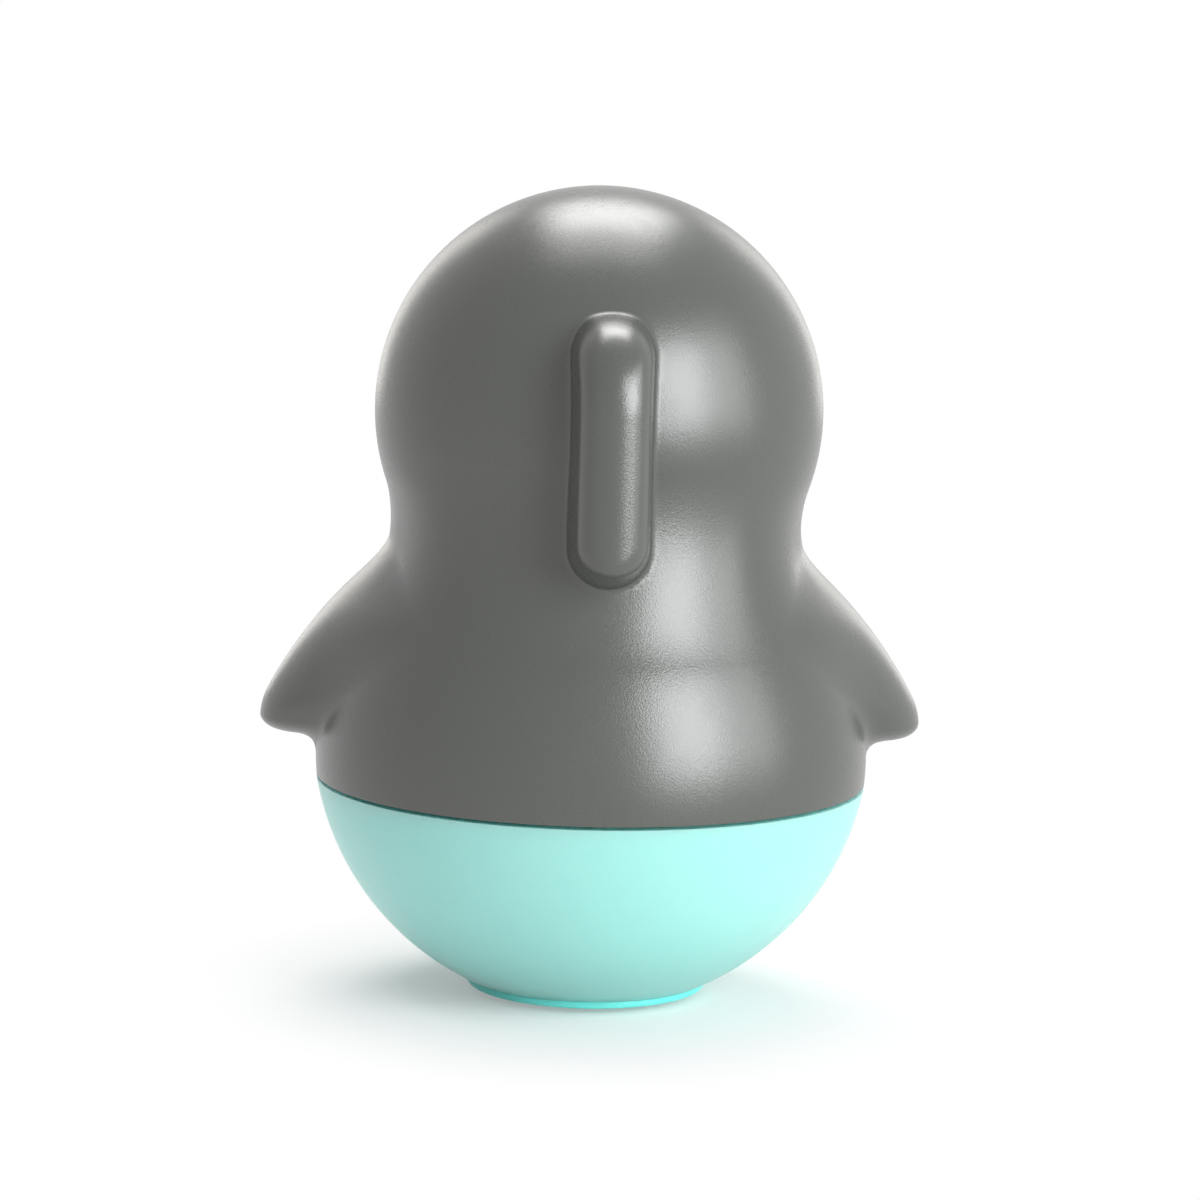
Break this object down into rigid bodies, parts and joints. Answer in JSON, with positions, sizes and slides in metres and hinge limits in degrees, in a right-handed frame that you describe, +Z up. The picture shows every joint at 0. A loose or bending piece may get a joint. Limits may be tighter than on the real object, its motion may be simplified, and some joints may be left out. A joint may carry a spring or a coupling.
{
  "type": "roly poly toy",
  "caption": "Weighted roly poly toy: a round grey bird with short wings and a back grip fin on a round aqua bowl that rights itself, with a chime and a swinging clapper inside.",
  "frame": {"origin": "middle of the foot's flat patch, on the floor", "axes": "+Z up through the crown, the face looks along -Y and the grip fin along +Y"},
  "size_m": [0.0988, 0.0846, 0.12],
  "materials": {
    "grey_plastic": "satin, very fine moulded grain",
    "white_plastic": "satin",
    "aqua_plastic": "satin, pale aqua",
    "foot_plastic": "satin, deeper aqua",
    "orange_plastic": "soft gloss",
    "black_plastic": "gloss",
    "ivory_plastic": "as moulded",
    "hanger_plastic": "as moulded, slippery",
    "seal_silicone": "matte",
    "ballast_iron": "as cast",
    "screw_steel": "zinc plated",
    "spring_steel": "polished",
    "rod_steel": "ground",
    "chime_brass": "turned"
  },
  "bodies": {
    "toy": {"back_shell": "grey_plastic", "front_panel": "white_plastic", "beak": "orange_plastic", "beak_screw": "screw_steel", "eye_left": "black_plastic", "eye_right": "black_plastic", "eye_clips": "spring_steel", "bowl": "aqua_plastic", "foot_cap": "foot_plastic", "seam_seal": "seal_silicone", "ballast": "ballast_iron", "ballast_washers": "screw_steel", "ballast_screws": "screw_steel", "deck": "ivory_plastic", "deck_screws": "screw_steel", "closing_screw": "screw_steel", "closing_washer": "screw_steel", "chime_plate": "chime_brass", "chime_rods": "rod_steel", "chime_screw": "screw_steel", "bridge": "ivory_plastic", "bridge_screws": "screw_steel"},
    "swivel": {"hanger": "hanger_plastic", "hanger_clip": "spring_steel", "clapper_pin": "rod_steel"},
    "clapper": {"clapper_arm": "rod_steel", "clapper_ball": "chime_brass"}
  },
  "joints": [
    {"name": "hanger_swivel", "type": "hinge", "parent": "toy", "child": "swivel", "pos_m": [0, 0, 0.0825], "axis": [0, 0, 1], "continuous": true},
    {"name": "clapper_tilt", "type": "hinge", "parent": "swivel", "child": "clapper", "pos_m": [0, 0, 0.074], "axis": [1, 0, 0], "range_deg": [-24, 24]}
  ]
}
